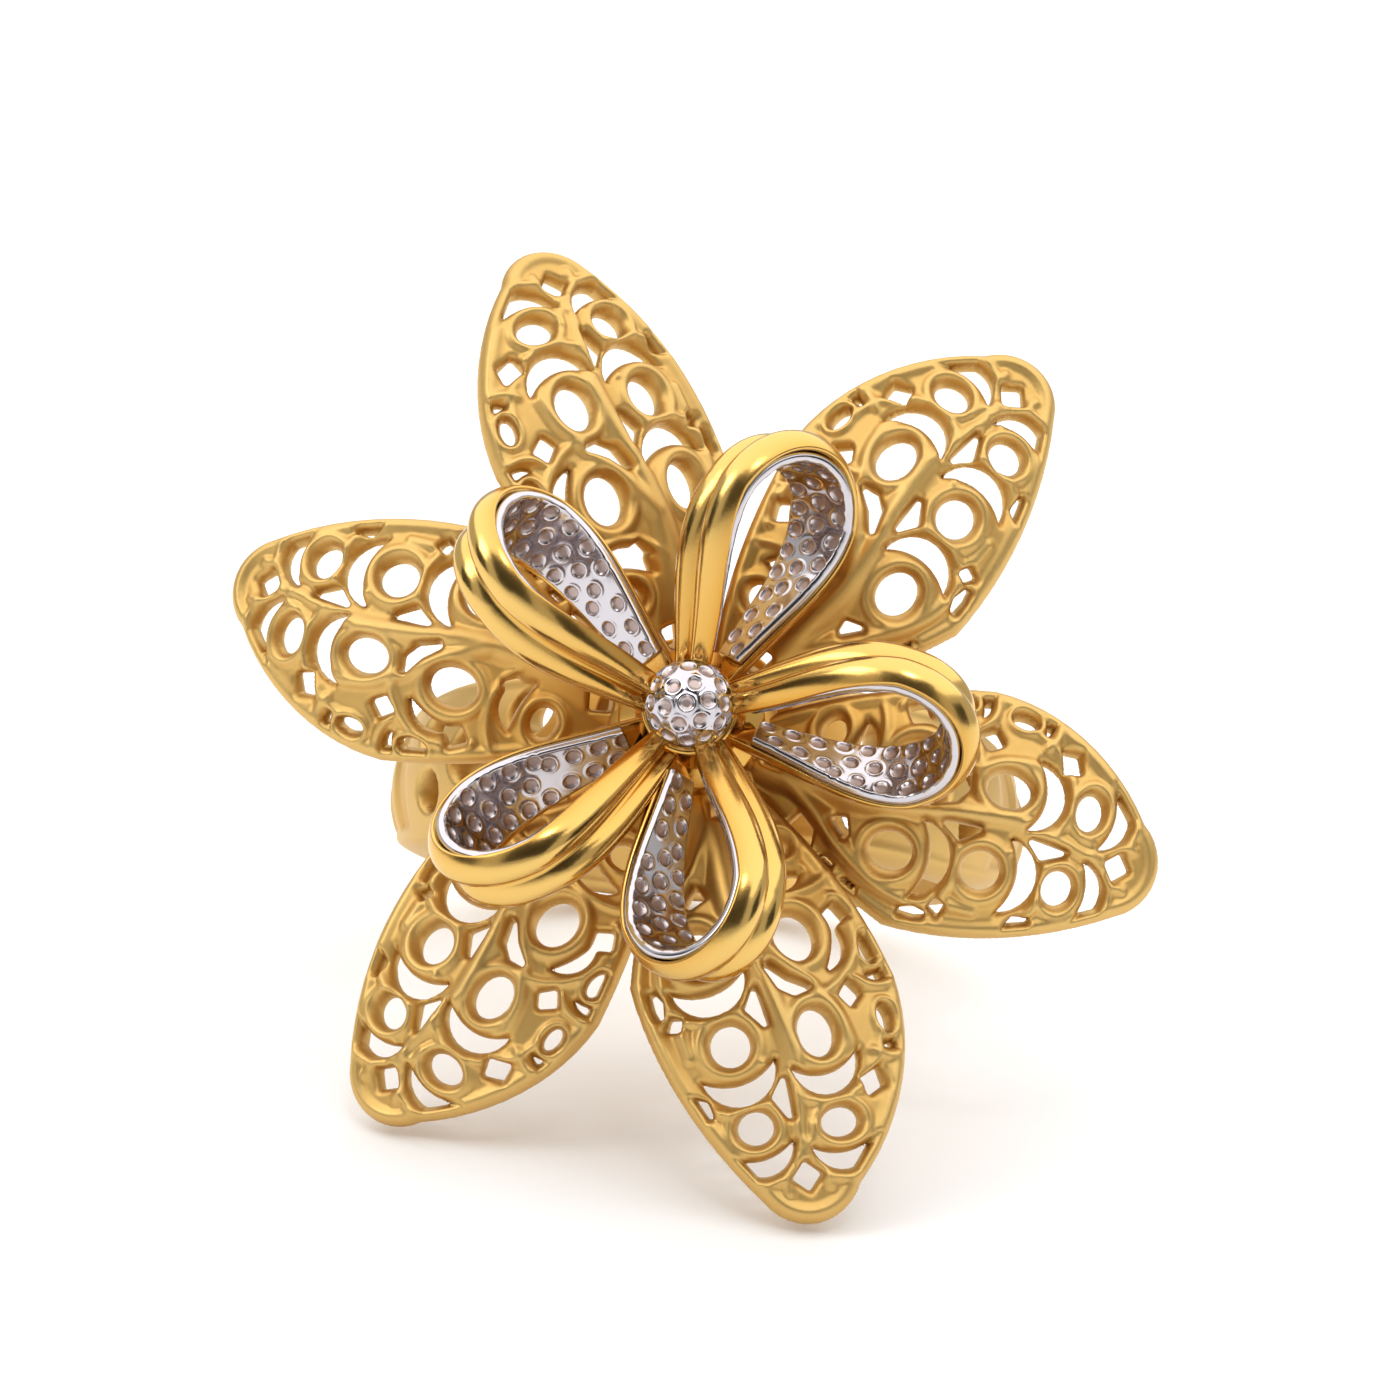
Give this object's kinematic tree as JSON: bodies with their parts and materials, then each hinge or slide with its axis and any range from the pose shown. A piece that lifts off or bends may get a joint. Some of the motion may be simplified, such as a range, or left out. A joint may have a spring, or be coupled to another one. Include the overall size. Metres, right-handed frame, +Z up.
{
  "type": "flower ring",
  "caption": "Gold finger ring with an openwork flower, an inner flower of ribbon loops lined in white metal, and a dimpled centre bead.",
  "frame": {"origin": "centre of the bottom of the box round the ring as it rests on a table", "axes": "+Z up from the table, -Y towards the side the flower faces, +X to the right as seen from there"},
  "size_m": [0.0292, 0.0302, 0.0252],
  "materials": {
    "satin_gold": "satin",
    "polished_gold": "polished",
    "white_rhodium": "polished"
  },
  "bodies": {
    "root": {"shank": "satin_gold", "outer_flower": "satin_gold", "ribbon_flower": "polished_gold", "loop_lining_1": "white_rhodium", "loop_lining_2": "white_rhodium", "loop_lining_3": "white_rhodium", "loop_lining_4": "white_rhodium", "loop_lining_5": "white_rhodium", "centre_bead": "white_rhodium"}
  },
  "joints": []
}
